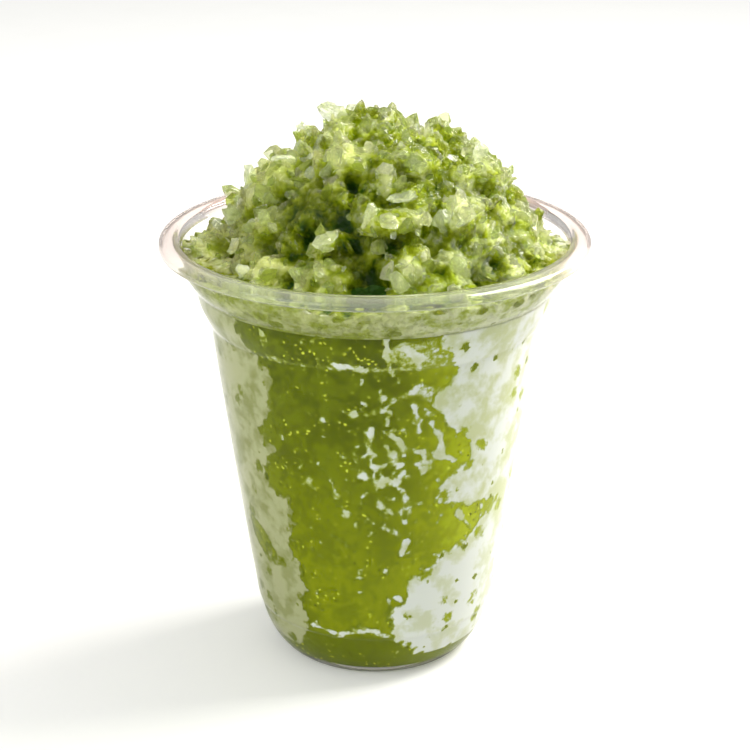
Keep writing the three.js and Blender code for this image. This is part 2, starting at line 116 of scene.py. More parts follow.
def mesh_object(name, vertices, faces, material):
    """A smooth-shaded mesh piece from vertices in millimetres."""
    mesh = bpy.data.meshes.new(name)
    mesh.from_pydata((np.asarray(vertices) * MM).tolist(), [], faces)
    mesh.polygons.foreach_set("use_smooth", [True] * len(mesh.polygons))
    mesh.materials.append(material)
    mesh.update()
    return new_object(name, mesh)


def matt_paper():
    """Matt white paper: a faint unevenness keeps it from looking like a flat fill."""
    material, tree, place = new_material("matt_paper")
    cloud = add(tree, "ShaderNodeTexNoise", {
        "Vector": place, "Scale": 1 / (PAPER_CLOUD * MM), "Detail": 3}).outputs["Fac"]
    shade = add(tree, "ShaderNodeMix", {0: cloud, 6: "#f7f7f5", 7: PAPER_WHITE}, data_type="RGBA")
    paper = add(tree, "ShaderNodeBsdfPrincipled", {
        "Base Color": shade.outputs[2], "Roughness": 0.9, "Specular IOR Level": 0.1,
        "Emission Color": PAPER_WHITE, "Emission Strength": PAPER_GLOW,
    })
    add(tree, "ShaderNodeOutputMaterial", {"Surface": paper.outputs["BSDF"]})
    return material


half = FLOOR_SIZE / 2
floor_corners = [(-half, -half, 0), (half, -half, 0), (half, half, 0), (-half, half, 0)]
floor = mesh_object("floor", floor_corners, [(0, 1, 2, 3)], matt_paper())


def area_lamp(name, place, size, power, colour):
    """A square soft lamp, in millimetres, aimed at the middle of the cup."""
    lamp = bpy.data.lights.new(name, "AREA")
    lamp.energy = power
    lamp.size = size * MM
    lamp.color = linear(colour)[:3]
    made = new_object(name, lamp)
    made.location = [MM * value for value in place]
    aim = Vector(CUP_MIDDLE) - Vector(place)
    made.rotation_euler = aim.to_track_quat("-Z", "Y").to_euler()


area_lamp("key_lamp", place=(380, 160, 520), size=380, power=6.2, colour="#fffdf8")
area_lamp("fill_lamp", place=(-420, -380, 300), size=500, power=1.4, colour="#fbfdff")

world = bpy.data.worlds.new("light_tent")
world.use_nodes = True
tent = world.node_tree.nodes["Background"].inputs
tent["Color"].default_value = linear(TENT_WHITE)
tent["Strength"].default_value = TENT_STRENGTH
scene.world = world
scene.view_settings.view_transform = "Standard"
scene.cycles.use_denoising = True

# ---- Cup --------------------------------------------------------------------------------------------
# A thin clear PET cup, thermoformed from one sheet: a rounded foot on a raised ring, a tapered wall, two
# stacking ledges under the flare, and a rim rolled outwards and down. It is turned from its outline.

SHEET = 0.6
RECESS_DEPTH, RECESS_RADIUS = 2.2, 14.5
RING_INNER, RING_OUTER = 17.5, 20.7
FOOT_RADIUS, FOOT_HEIGHT, FOOT_ROUNDNESS, FOOT_STEPS = 27.45, 11.7, 1.5, 14
RIM_RADIUS, RIM_CREST, RIM_TOP = 49.0, 45.3, 101.5
RIM_SHOULDER, RIM_SHOULDER_TOP, RIM_EDGE, RIM_LIP = 48.0, 101.2, 100.4, 98.8
CUP_SIDES = 144
CLOUDED_FROM = 44.4

# Outside of the wall above the foot, as radius and height.
WALL_OUTSIDE = [
    (28.1, 12.5), (28.98, 18.5), (29.66, 22.5), (30.3, 26.5), (31.55, 35.5), (33.68, 50.5), (35.76, 65.5),
    (37.11, 75.5), (37.85, 81.6), (38.5, 82.5), (39.3, 84.2), (40.35, 86.5), (41.2, 90.6), (41.95, 91.3),
    (43.66, 94), (44.3, 97), (44.6, 99.5),
]


def foot_rounding():
    """Quarter of a superellipse from the foot ring up to the wall."""
    points = []
    for i in range(FOOT_STEPS + 1):
        turn = i / FOOT_STEPS * math.pi / 2
        out = math.sin(turn) ** (2 / FOOT_ROUNDNESS)
        up = 1 - max(math.cos(turn), 0) ** (2 / FOOT_ROUNDNESS)
        points.append((RING_OUTER + (FOOT_RADIUS - RING_OUTER) * out, FOOT_HEIGHT * up))
    return points


OUTSIDE = foot_rounding() + WALL_OUTSIDE


def radius_inside(height, inset):
    """Radius at a height of the outside moved inwards, in millimetres. Heights and insets may be arrays."""
    radii, heights = zip(*OUTSIDE)
    return np.interp(height, heights, radii) - inset


def side_moved_in(distance):
    """The side of the outline, moved inwards, from where it meets the floor moved up as far."""
    floor_height = RECESS_DEPTH + distance
    side = [(radius - distance, height) for radius, height in OUTSIDE if height > floor_height]
    return [(float(radius_inside(floor_height, distance)), floor_height)] + side


def softened(outline, times):
    """The outline with its corners cut to soft bends."""
    for _ in range(times):
        cut = [outline[0]]
        for (r0, z0), (r1, z1) in zip(outline, outline[1:]):
            cut.append((0.75 * r0 + 0.25 * r1, 0.75 * z0 + 0.25 * z1))
            cut.append((0.25 * r0 + 0.75 * r1, 0.25 * z0 + 0.75 * z1))
        outline = cut + [outline[-1]]
    return outline


def turned(name, outline, sides, material):
    """A closed solid turned from an outline that runs from the axis up its outer side and back to it."""
    rings = np.array(outline[1:-1])
    turn = 2 * np.pi * np.arange(sides) / sides
    around = np.stack([np.sin(turn), -np.cos(turn)], axis=1)
    vertices = np.concatenate([
        np.column_stack([radius * around, np.full(sides, height)]) for radius, height in rings
    ] + [[(0, 0, outline[0][1]), (0, 0, outline[-1][1])]])
    first, last = len(vertices) - 2, len(vertices) - 1
    faces = []
    for side in range(sides):
        after = (side + 1) % sides
        faces.append((first, after, side))
        for ring in range(len(rings) - 1):
            low, high = ring * sides, (ring + 1) * sides
            faces.append((low + side, low + after, high + after, high + side))
        top = (len(rings) - 1) * sides
        faces.append((last, top + side, top + after))
    return mesh_object(name, vertices, faces, material)


def fade(tree, value, low, high, before, after, most=1.0):
    """A colour that turns from one into another as a value passes between two limits."""
    share = add(tree, "ShaderNodeMapRange", {
        "Value": value, "From Min": low, "From Max": high, "To Max": most}, interpolation_type="SMOOTHSTEP")
    mixed = add(tree, "ShaderNodeMix", {0: share.outputs["Result"], 6: before, 7: after}, data_type="RGBA")
    return mixed.outputs[2]


def end_clear(tree, colour, see_through, index, roughness, normal, shadow_tint):
    """Ends a see-through material, which lets the lamps' light straight through, tinted."""
    shader = add(tree, "ShaderNodeBsdfPrincipled", {
        "Base Color": colour, "Transmission Weight": see_through, "IOR": index, "Roughness": roughness,
        "Normal": normal,
    })
    clear = add(tree, "ShaderNodeBsdfTransparent", {"Color": shadow_tint})
    shadow = add(tree, "ShaderNodeLightPath").outputs["Is Shadow Ray"]
    both = add(tree, "ShaderNodeMixShader", {0: shadow, 1: shader.outputs["BSDF"], 2: clear.outputs["BSDF"]})
    add(tree, "ShaderNodeOutputMaterial", {"Surface": both.outputs["Shader"]})


def clear_pet(name, tint, front_tint, see_through, index):
    """Clear PET sheet: glossy, faintly warm, tinted green in front as painted light from the ice seen through
    it, with the slight waves of forming.
    """
    material, tree, place = new_material(name)
    stretched = add(tree, "ShaderNodeMapping", {"Vector": place, "Scale": (1, 1, 0.35)}).outputs["Vector"]
    waves = add(tree, "ShaderNodeTexNoise", {
        "Vector": stretched, "Scale": 1 / (9 * MM), "Detail": 2}).outputs["Fac"]
    bump = add(tree, "ShaderNodeBump", {"Height": waves, "Strength": 0.12, "Distance": 0.3 * MM})
    depth = add(tree, "ShaderNodeSeparateXYZ", {"Vector": place}).outputs["Y"]
    # Greener in front: a painted tint for the green ice seen through the sheet.
    faced = fade(tree, depth, -14 * MM, -38 * MM, tint, front_tint)
    grazing = add(tree, "ShaderNodeLayerWeight", {"Blend": 0.5}).outputs["Facing"]
    colour = fade(tree, grazing, 0.6, 1.0, faced, "#b4aea4", 0.9)
    end_clear(tree, colour, see_through, index, 0.03, bump.outputs["Normal"], shadow_tint=colour)
    return material


def cup_outline():
    """The sheet's whole outline: underside, wall, rolled rim, inside and floor."""
    under = [(0, RECESS_DEPTH), (RECESS_RADIUS, RECESS_DEPTH), (RING_INNER, 0.1), (RING_INNER + 0.9, 0)]
    curl = [
        (RIM_CREST + 0.2, RIM_TOP - SHEET), (RIM_SHOULDER - 0.4, RIM_SHOULDER_TOP - SHEET),
        (RIM_RADIUS - SHEET, RIM_EDGE - 0.5), (RIM_RADIUS - SHEET, RIM_LIP), (RIM_RADIUS, RIM_LIP),
        (RIM_RADIUS, RIM_EDGE), (RIM_SHOULDER, RIM_SHOULDER_TOP), (RIM_CREST, RIM_TOP),
        (OUTSIDE[-1][0] - SHEET + 0.3, RIM_TOP - 0.6),
    ]
    inside = side_moved_in(SHEET)[::-1]
    return under + OUTSIDE + curl + inside + [(0, RECESS_DEPTH + SHEET)]


flat_sheet = clear_pet("clear_pet", "#f8f5f3", "#f8f8f3", see_through=1.0, index=1.18)
curled_sheet = clear_pet("stretched_pet", "#eddfd9", "#f4f7e2", see_through=0.93, index=1.42)
cup = turned("clear_cup", softened(cup_outline(), 2), CUP_SIDES, flat_sheet)
cup.data.materials.append(curled_sheet)
for face in cup.data.polygons:
    out = math.hypot(face.center.x, face.center.y)
    face.material_index = int(out > CLOUDED_FROM * MM and face.center.z > RIM_LIP * MM)
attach(cup, "root")
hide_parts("cup")

# ---- Packed slush -----------------------------------------------------------------------------------
# Shaved ice soaked in matcha syrup, packed into the cup up to the heap. It is pressed to the wall, so its
# side reaches just into the sheet, and the ice grains in it show as lighter specks in the green, painted
# bright as glints.

WETTED = 0.10
SLUSH_TOP = 90.1


def eased(tree, level, value, low, high, to_low=0.0, to_high=1.0, operation="ADD"):
    """A level with an amount added, or multiplied by it, that changes as a value passes two limits."""
    amount = add(tree, "ShaderNodeMapRange", {
        "Value": value, "From Min": low, "From Max": high, "To Min": to_low, "To Max": to_high,
    }, interpolation_type="SMOOTHSTEP").outputs["Result"]
    return add(tree, "ShaderNodeMath", {0: level, 1: amount}, operation=operation).outputs[0]


def bent_cells(tree, place, jitter, reach, size):
    """Places pushed about by a noise, up to a reach in millimetres, and cells of a size made from them."""
    bent = add(tree, "ShaderNodeVectorMath", {
        0: jitter, 1: (reach * MM,) * 3, 2: place}, operation="MULTIPLY_ADD").outputs[0]
    return bent, add(tree, "ShaderNodeTexVoronoi", {"Vector": bent, "Scale": 1 / (size * MM)}).outputs


def matcha_slush():
    """Syrup-soaked ice: olive green, mottled by the packing, brighter low down and, as painted light, towards
    +X, darker at the foot as painted shade, with light specks painted bright as glints and dark specks.
    """
    material, tree, place = new_material("matcha_slush")
    axes = add(tree, "ShaderNodeSeparateXYZ", {"Vector": place}).outputs
    packed = add(tree, "ShaderNodeTexNoise", {
        "Vector": place, "Scale": 1 / (9 * MM), "Detail": 5, "Roughness": 0.62}).outputs["Fac"]
    jitter = add(tree, "ShaderNodeTexNoise", {"Vector": place, "Scale": 1 / (1.5 * MM), "Detail": 2}).outputs
    mottled = eased(tree, packed, jitter["Fac"], 0.25, 0.75, -0.14, 0.14)
    tones = (("#4f5a06", "#626f09"), ("#6d7906", "#838f08"), ("#98a50d", "#b0bd16"))
    high, low, sunlit = [fade(tree, mottled, 0.36, 0.64, *tone) for tone in tones]
    upright = fade(tree, axes["Z"], 84 * MM, 16 * MM, high, low)
    # Brighter towards +X, the key lamp's side: painted light.
    lit = fade(tree, axes["X"], 0, 22 * MM, upright, sunlit, 0.85)
    # Darker just above the foot: painted shade that stands in for the foot's thick plastic.
    footed = fade(tree, axes["Z"], 13.5 * MM, 11.5 * MM, lit, "#5c680e", 0.75)
    # Lighter specks: the ice grains' own paleness, painted brighter as glints, with dark specks among them.
    _, grain = bent_cells(tree, place, jitter["Color"], 1.4, 1.3)
    where = add(tree, "ShaderNodeTexNoise", {"Vector": place, "Scale": 1 / (5 * MM), "Detail": 2})
    speck = eased(tree, 1.0, grain["Distance"], 0.34, 0.16, operation="MULTIPLY")
    shown = eased(tree, speck, where.outputs["Fac"], 0.44, 0.62, operation="MULTIPLY")
    glint = fade(tree, grain["Color"], 0.4, 0.5, "#4c5708", "#ccd63c")
    final = add(tree, "ShaderNodeMix", {0: shown, 6: footed, 7: glint}, data_type="RGBA")
    slush = add(tree, "ShaderNodeBsdfPrincipled", {
        "Base Color": final.outputs[2], "Roughness": 0.45, "Specular IOR Level": 0.0,
        "Subsurface Weight": 0.15, "Subsurface Radius": (1.0, 1.0, 0.3), "Subsurface Scale": 0.8 * MM,
    })
    add(tree, "ShaderNodeOutputMaterial", {"Surface": slush.outputs["BSDF"]})
    return material


side = [(radius, height) for radius, height in side_moved_in(SHEET - WETTED) if height < SLUSH_TOP]
side.append((float(radius_inside(SLUSH_TOP, SHEET - WETTED)), SLUSH_TOP))
slush_outline = [(0, RECESS_DEPTH + SHEET - WETTED)] + side + [(0, SLUSH_TOP)]
slush = turned("packed_slush", slush_outline, CUP_SIDES, matcha_slush())
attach(slush, "root")
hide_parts("matcha_slush")

# ---- Milk at the wall -------------------------------------------------------------------------------
# Condensed milk poured down inside the wall before the ice went in. It lies between the slush and the
# wall in two big patches with ragged edges, and in thin runs and drops across the green between them.

MILK_THICKNESS = 1.2
MILK_STANDS, RUNS_STAND = 0.12, 0.08
MILK_TUCK = 1.2
MILK_CELL = 0.55
MILK_FRINGE = 0.4
MILK_LOW, MILK_TOP = 6.0, 90.5
WALL_MIDDLE, WALL_MIDDLE_RADIUS = 60, 36

# The oval hole in the left patch, and the drop of milk that is left in it: where, half sizes, and lean.
HOLE_BEARING, HOLE_HEIGHT = -57, 32.5
HOLE_HALF_WIDTH, HOLE_HALF_HEIGHT, HOLE_LEAN = 3.6, 4.8, 0.6
DROP_PLACE, DROP_RADIUS, DROP_STRETCH = (2.0, -2.2), 1.1, 1.6

# Front edges of the two patches, as height and bearing.
LEFT_EDGE = [
    (3, -60), (7, -42), (12, -29), (15, -31), (20, -34), (36, -36),
    (46, -38), (54, -46), (60, -43), (71, -41), (80, -42), (90, -46),
]
RIGHT_EDGE = [
    (3, 34), (8, 22), (12, 8), (20, 9), (27, 13), (31, 24), (35, 37), (40, 52), (43.5, 58), (46, 30),
    (49, 22), (53, 28), (57, 37), (62, 34), (66, 26), (74, 21), (80.8, 27), (90, 20),
]
LEFT_BACK_BEARING, RIGHT_BACK_BEARING = -142, 148

# Runs and drops over the green, each a line of bearing and height with its width at both ends.
RUNS = [
    ([(-2, 63), (-0.5, 57.5), (1, 51), (4, 43)], 1.6, 0.7), ([(-1.5, 67.5), (-1.5, 65)], 1.1, 0.8),
    ([(2.5, 72), (7, 74.5), (12.5, 76)], 0.9, 1.6), ([(13, 73), (15, 70), (16, 66.5)], 1.5, 0.7),
    ([(7.5, 54), (11.5, 50)], 1.2, 0.7), ([(14, 62), (17.5, 61), (18.5, 58.5), (15, 58)], 1.0, 0.8),
    ([(23, 60), (31, 57.5)], 1.4, 1.0), ([(-17, 54), (-14.5, 50.5)], 1.2, 0.8),
    ([(35, 44), (45, 37)], 1.2, 0.8), ([(49, 40), (58.5, 35)], 1.4, 0.9),
    ([(6, 23), (8, 18.5), (8.5, 14.5)], 0.9, 1.2), ([(9, 23.5), (13.5, 21.5), (16.5, 17.5)], 0.8, 0.6),
    ([(3.5, 90), (3.5, 86), (5.5, 80.5)], 1.7, 1.0), ([(-12.5, 83), (-4, 82.5)], 1.8, 1.2),
    ([(9, 87.5), (18, 83.5)], 2.4, 1.2), ([(-31, 14), (-17, 13), (-2.5, 14.5), (12, 12.5)], 0.9, 0.9),
    ([(-7, 71.5), (-6.6, 71)], 1.8, 1.6), ([(-4.5, 74), (-4, 73.6)], 1.5, 1.4),
    ([(2.5, 75), (3, 74.7)], 1.6, 1.4), ([(4.5, 69.5), (4.6, 69)], 1.4, 1.2),
    ([(-11, 46), (-10.7, 45.8)], 1.2, 1.0), ([(-19, 47), (-18.8, 46.8)], 1.0, 0.9),
    ([(4.5, 45), (4.8, 44.6)], 1.4, 1.2), ([(1, 42.5), (1.5, 42.2)], 1.1, 1.0),
    ([(8, 41), (8.3, 40.8)], 1.0, 0.9), ([(5, 66), (9, 64.5), (10.5, 61)], 1.3, 0.8),
    ([(4.5, 60), (9.5, 58.5)], 1.4, 1.0), ([(2, 55), (8, 54), (10.5, 56)], 1.2, 1.5),
    ([(9.5, 46.5), (12.5, 43)], 1.1, 0.8), ([(13, 38.5), (11, 35)], 1.0, 0.7),
    ([(20, 68), (24, 64), (25.5, 60.5)], 1.3, 0.9),
]

FILMS = [
    ([(9, 86.3), (22, 85.6)], 5.5, 7.5), ([(-48, 87), (-38, 87.5)], 5, 4), ([(15, 77), (22, 74)], 2.5, 3.5),
    ([(-47, 82.1), (-30, 81.9), (-12, 82.1)], 0.8, 0.9), ([(-4, 82.1), (12, 82.2), (22, 82.0)], 0.9, 1.1),
]


def ripple(height, phase):
    """A gentle wave up the wall, between -1 and 1."""
    return 0.6 * np.sin(height / 2.9 + phase) + 0.4 * np.sin(height / 5.3 + 2.3 * phase)


def mm_per_degree(height):
    """Length of one degree of bearing along the inside of the wall."""
    return radius_inside(height, SHEET) * np.pi / 180


def past_edge(edge, bearing, height):
    """Distance from a slanting edge, positive towards larger bearings."""
    below, here, above = [np.interp(height + step, *zip(*edge)) for step in (-1, 0, 1)]
    degree = mm_per_degree(height)
    return (bearing - here) * degree / np.hypot(1, (above - below) / 2 * degree)


def on_wall(bearing, height, inset):
    """Points on the wall's own form, at a depth under its outside."""
    radius = radius_inside(height, inset)
    turn = np.radians(bearing)
    return np.stack([radius * np.sin(turn), -radius * np.cos(turn), height], axis=-1)


def noise_at(points, size, seed):
    """Smooth noise between -1 and 1 at points in millimetres, with features of a given size."""
    shift = Vector((13.1 * seed, 7.7 * seed, -5.3 * seed))
    flat = points.reshape(-1, 3) / size
    values = [noise.noise(Vector(point) + shift) for point in flat]
    return np.array(values).reshape(points.shape[:-1])


def ragged(bearing, height, seed):
    """Unevenness of the milk's edges, in millimetres: wide tongues, with small and smaller teeth on them."""
    points = on_wall(bearing, height, SHEET)
    waves = ((2.0, 5.5), (1.7, 2.6), (1.0, 1.3))
    return sum(reach * noise_at(points, size, seed + step) for step, (reach, size) in enumerate(waves))


def wall_sheet(name, field, bearings, stands, material):
    """A thin sheet against the wall where a field is positive, sinking under the slush where it isn't.

    The field is kept as the attribute cover, so that the milk thins out to green at its edges.
    """
    height, bearing = np.meshgrid(
        np.arange(MILK_LOW, MILK_TOP, MILK_CELL),
        np.arange(*bearings, np.degrees(MILK_CELL / WALL_MIDDLE_RADIUS)),
        indexing="ij",
    )
    cover = field(bearing, height)
    value = cover + MILK_FRINGE
    rise = np.clip(2 * value, -0.5, stands)
    outer = on_wall(bearing, height, SHEET - WETTED - rise).reshape(-1, 3)
    inner = on_wall(bearing, height, SHEET + MILK_THICKNESS).reshape(-1, 3)
    count = len(outer)
    index = np.arange(count).reshape(value.shape)
    corners = [index[:-1, :-1], index[:-1, 1:], index[1:, 1:], index[1:, :-1]]
    highest = np.max([value.reshape(-1)[corner] for corner in corners], axis=0)
    kept = highest > -MILK_TUCK
    quads = np.stack([corner[kept] for corner in corners], axis=1)
    sides = np.concatenate([quads[:, [i, (i + 1) % 4]] for i in range(4)])
    lone = sides[~np.isin(sides[:, 0] * count + sides[:, 1], sides[:, 1] * count + sides[:, 0])]
    rim = np.column_stack([lone[:, 1], lone[:, 0], lone[:, 0] + count, lone[:, 1] + count])
    faces = np.concatenate([quads, quads[:, ::-1] + count, rim])
    used, faces = np.unique(faces, return_inverse=True)
    vertices = np.concatenate([outer, inner])[used]
    sheet = mesh_object(name, vertices, faces.reshape(-1, 4).tolist(), material)
    layer = sheet.data.attributes.new("cover", "FLOAT", "POINT")
    layer.data.foreach_set("value", np.tile(cover.reshape(-1), 2)[used].astype(np.float32))
    return sheet


def dimples(bearing, height, spacing, size, seed):
    """Negative inside small round gaps, spread at random over the milk."""
    points = on_wall(bearing, height, SHEET)
    flat = points.reshape(-1, 3) / spacing
    shift = Vector((3.3 * seed, 9.1 * seed, 4.7 * seed))
    nearest = np.array([noise.voronoi(Vector(point) + shift)[0][0] for point in flat])
    return nearest.reshape(bearing.shape) * spacing - size


def left_milk(bearing, height):
    """The left patch, with its oval hole and a small drop left inside it."""
    scale = mm_per_degree(height)
    front = 0.9 * ripple(height, 0.4) - past_edge(LEFT_EDGE, bearing, height)
    back = (bearing - LEFT_BACK_BEARING) * scale + 4.5 * ripple(height / 3, 1.9) + ragged(bearing, height, 7)
    across, up = (bearing - HOLE_BEARING) * scale, height - HOLE_HEIGHT
    oval = np.hypot((across + HOLE_LEAN * up) / HOLE_HALF_WIDTH, up / HOLE_HALF_HEIGHT)
    hole = 4.0 * oval - 4.0 + 0.4 * ragged(bearing, height, 15)
    drop = DROP_RADIUS - np.hypot(across - DROP_PLACE[0], (up - DROP_PLACE[1]) / DROP_STRETCH)
    whole = np.minimum(front, back) + 1.4 * ragged(bearing, height, 1)
    return np.minimum.reduce([whole, np.maximum(hole, drop), dimples(bearing, height, 6.2, 1.0, 1)])


def right_milk(bearing, height):
    """The right patch, which runs round to the back."""
    scale = mm_per_degree(height)
    front = past_edge(RIGHT_EDGE, bearing, height) + 0.9 * ripple(height, 2.8)
    back = (RIGHT_BACK_BEARING - bearing) * scale + 4.5 * ripple(height / 3, 4.1)
    whole = np.minimum(front, back + ragged(bearing, height, 11)) + ragged(bearing, height, 3)
    return np.minimum(whole, dimples(bearing, height, 7, 1.0, 2))


def inside_lines(lines, bearing, height):
    """Distance inside the nearest line, each narrowing from its start to its end."""
    degree = mm_per_degree(WALL_MIDDLE)
    across = bearing * degree
    best = np.full(bearing.shape, -10.0)
    for line, start_width, end_width in lines:
        for step, (start, end) in enumerate(zip(line, line[1:])):
            (x0, z0), (x1, z1) = [(b * degree, h) for b, h in (start, end)]
            length = math.hypot(x1 - x0, z1 - z0)
            share = np.clip(((across - x0) * (x1 - x0) + (height - z0) * (z1 - z0)) / length ** 2, 0, 1)
            distance = np.hypot(across - x0 - share * (x1 - x0), height - z0 - share * (z1 - z0))
            along = (step + share) / (len(line) - 1)
            best = np.maximum(best, (start_width + (end_width - start_width) * along) / 2 - distance)
    return best


def milk_runs(bearing, height):
    """White runs and drops, flecks between them, and thin green films of milk over the slush."""
    flecks = 2.6 * noise_at(on_wall(bearing, height, SHEET), 1.9, 9) - 1.5
    near = np.exp(-((bearing - 6) / 20) ** 2 - ((height - 57) / 17) ** 2)
    uneven = ragged(bearing, height, 5)
    white = 1.8 * inside_lines(RUNS, bearing, height) + 0.2 + 0.8 * uneven
    thin = np.minimum(inside_lines(FILMS, bearing, height) + 0.35 * uneven, 0.28 + 0.15 * uneven)
    beside = -0.6 - right_milk(bearing, height)
    return np.minimum(np.maximum.reduce([white, flecks + 1.2 * near, thin]), beside)


def condensed_milk(name, shade, pale, thin, spot):
    """Milk with ice melted into it: near white and cloudy, thinning to green at its edges and spots, that
    green brighter towards +X as painted light.
    """
    material, tree, place = new_material(name)
    axes = add(tree, "ShaderNodeSeparateXYZ", {"Vector": place}).outputs
    cover = add(tree, "ShaderNodeAttribute", attribute_name="cover").outputs["Fac"]
    cloud = add(tree, "ShaderNodeTexNoise", {
        "Vector": place, "Scale": 1 / (6 * MM), "Detail": 5, "Roughness": 0.6}).outputs["Fac"]
    fine = add(tree, "ShaderNodeTexNoise", {
        "Vector": place, "Scale": 1 / (1.3 * MM), "Detail": 3, "Roughness": 0.6}).outputs
    depth = eased(tree, cover, fine["Fac"], 0.25, 0.75, -0.6, 0.6)
    cloudy = eased(tree, 0.0, cloud, 0.38, 0.6)
    # Paler low down.
    paler_low_down = eased(tree, cloudy, axes["Z"], 42 * MM, 30 * MM, 0.0, 0.3)
    base = add(tree, "ShaderNodeMix", {0: paler_low_down, 6: shade, 7: pale}, data_type="RGBA")
    milky = fade(tree, depth, 0.15, 0.9, thin, base.outputs[2])
    _, cells = bent_cells(tree, place, fine["Color"], 2.2, 4.2)
    chosen = eased(tree, 1.0, cells["Color"], 0.4, 0.9, operation="MULTIPLY")
    reach = eased(tree, chosen, cloud, 0.66, 0.44, 0.0, 0.36, operation="MULTIPLY")
    inside = add(tree, "ShaderNodeMath", {0: reach, 1: cells["Distance"]}, operation="SUBTRACT").outputs[0]
    spotted = fade(tree, inside, -0.05, 0.03, milky, thin)
    centred = fade(tree, inside, 0.0, 0.08, spotted, spot)
    # The green where the milk thins out is brighter towards +X: painted light.
    fringe = fade(tree, axes["X"], 0, 22 * MM, "#66730c", "#9fad14", 0.75)
    final = fade(tree, depth, -0.2, 0.3, fringe, centred)
    milk = add(tree, "ShaderNodeBsdfPrincipled", {
        "Base Color": final, "Roughness": 0.4, "Specular IOR Level": 0.0, "Subsurface Weight": 0.25,
        "Subsurface Radius": (1.0, 1.0, 0.7), "Subsurface Scale": 0.7 * MM,
    })
    add(tree, "ShaderNodeOutputMaterial", {"Surface": milk.outputs["BSDF"]})
    return material


# Lit and shaded copies: the left patch is darker as painted shade, on a greener colour of its own, and the
# right patch and runs brighter as painted light.
shaded_milk = condensed_milk("shaded_milk", "#838b50", "#a6ab80", "#757f26", "#505c0c")
lit_milk = condensed_milk("lit_milk", "#bcc49a", "#d5dbd6", "#98a43e", "#6d7a0e")

milk_left = wall_sheet("left_milk", left_milk, (-165, -20), MILK_STANDS, shaded_milk)
milk_right = wall_sheet("right_milk", right_milk, (0, 165), MILK_STANDS, lit_milk)
runs = wall_sheet("milk_runs", milk_runs, (-38, 66), RUNS_STAND, lit_milk)
for piece, node in ((milk_left, "milk_left"), (milk_right, "milk_right"), (runs, None)):
    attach(piece, "root")
    if node:
        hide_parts(node)

# ---- Heap of shaved ice -----------------------------------------------------------------------------
# Coarse wet shaved ice piled in a round heap, soaked with matcha syrup that gathers in its hollows. Its
# colour is darker in the hollows, partly the syrup and partly painted shade, and paler on its crests, partly
# the ice and partly painted highlight, and on its left flank as painted light. The mass is the frame's own
# heap, remeshed finely with ice-sized relief and pressed flush where it meets the wall, and a thin crust of
# clearer ice stands over it.

ICE_INDEX, ICE_SHADOW_TINT = 1.31, "#e6ecd0"
MASS_VOXEL = 0.6
HEAP_FOOT = 90.0
HEAP_HEART = (0, 0, 84)
SETTLED, DRAWN_IN = 0.965, 0.015
CLEAR_OF_CUP, CLEAR_OVER = 98, 4
FLANK_IN, FLANK_FROM, FLANK_OVER = 1.2, 18, 8
HOLLOW_DEPTH, HOLLOW_EASE = 3.0, 1.4
CRUST_DEPTH, CRUST_TUCK, CRUST_OVER = 1.8, 0.8, 3

# How near the wall the ice is pressed flush with it, behind and in front, and where the front ends.
PRESSED_BACK, PRESSED_FRONT = 1.7, 4.2
FLUSH_SHARE, LOOSE_SHARE = 0.7, 0.3
FRONT_HALF, FRONT_OVER = 112, 14
PRESSED_TOP_BACK, PRESSED_TOP_RISE = 98.5, 1.5
TOUCHES_FROM, TOUCHES_OVER = 2.4, 1.6

# How pale the ice is: at rest, and for each millimetre that it stands above what lies round it. Standing out
# pales it and the hollows darken it, partly as the ice and syrup are and partly as painted light and shade.
CREST_LEVEL, CREST_BROAD, CREST_CLOSE = 0.42, 0.07, 0.58
CREST_CHUNK, CREST_HOLLOW, CHUNK_CORE = 0.17, 0.5, 1.7
BROAD_PASSES, CLOSE_PASSES = 90, 12

# Sizes of the crystals in the relief, each with its share of full height, and what bends them out of line.
CRYSTALS = [(7.5, 0.24), (3.4, 0.42)]
BENDS = (Vector((0, 0, 0)), Vector((31.4, 0, 0)), Vector((0, 47.2, 0)))

# Grains and shards: a ball whose scale is its length, jagged by a noise, turned at random.
SHARD_RADIUS, JAG_SIZE = 0.55, 2.4
FULL_TURN = 6.283
MOST_PER_SQUARE_METRE = 4e6

CHUNK_BREAKS, CHUNK_SWELL = 14, 1.3

# The biggest chunks, each as its place, its size and its turn about Z.
CHUNKS = [
    ((-23.4, -28.0, 101.2), (15.5, 9, 9), 35), ((-10.0, -33.6, 100.0), (16, 6, 8), 8),
    ((7.2, -33.4, 103.2), (12, 8, 12), -30), ((14.6, -33.6, 100.8), (9, 7, 9), -22),
    ((25.6, -26.4, 101.4), (12, 8, 8), -44), ((3.4, -28.6, 112.0), (16, 7, 6), 12),
    ((18.2, -24.0, 111.4), (7, 7, 13), -36),
    ((6.6, -13.4, 121.9), (10, 8, 8), -20), ((-6.4, -12.4, 121.2), (9, 8, 10), 30),
    ((2.6, 0.5, 124.4), (12, 9, 7), 10), ((-8.0, -0.5, 123.8), (9, 7, 7), 70),
    ((-22.0, -3.5, 115.6), (13, 10, 9), 60), ((24.8, -6.0, 116.6), (11, 9, 10), -60),
    ((39.2, -3.0, 97.4), (7, 11, 9), 4), ((-37.6, -8.6, 98.6), (7, 12, 9), -12),
]

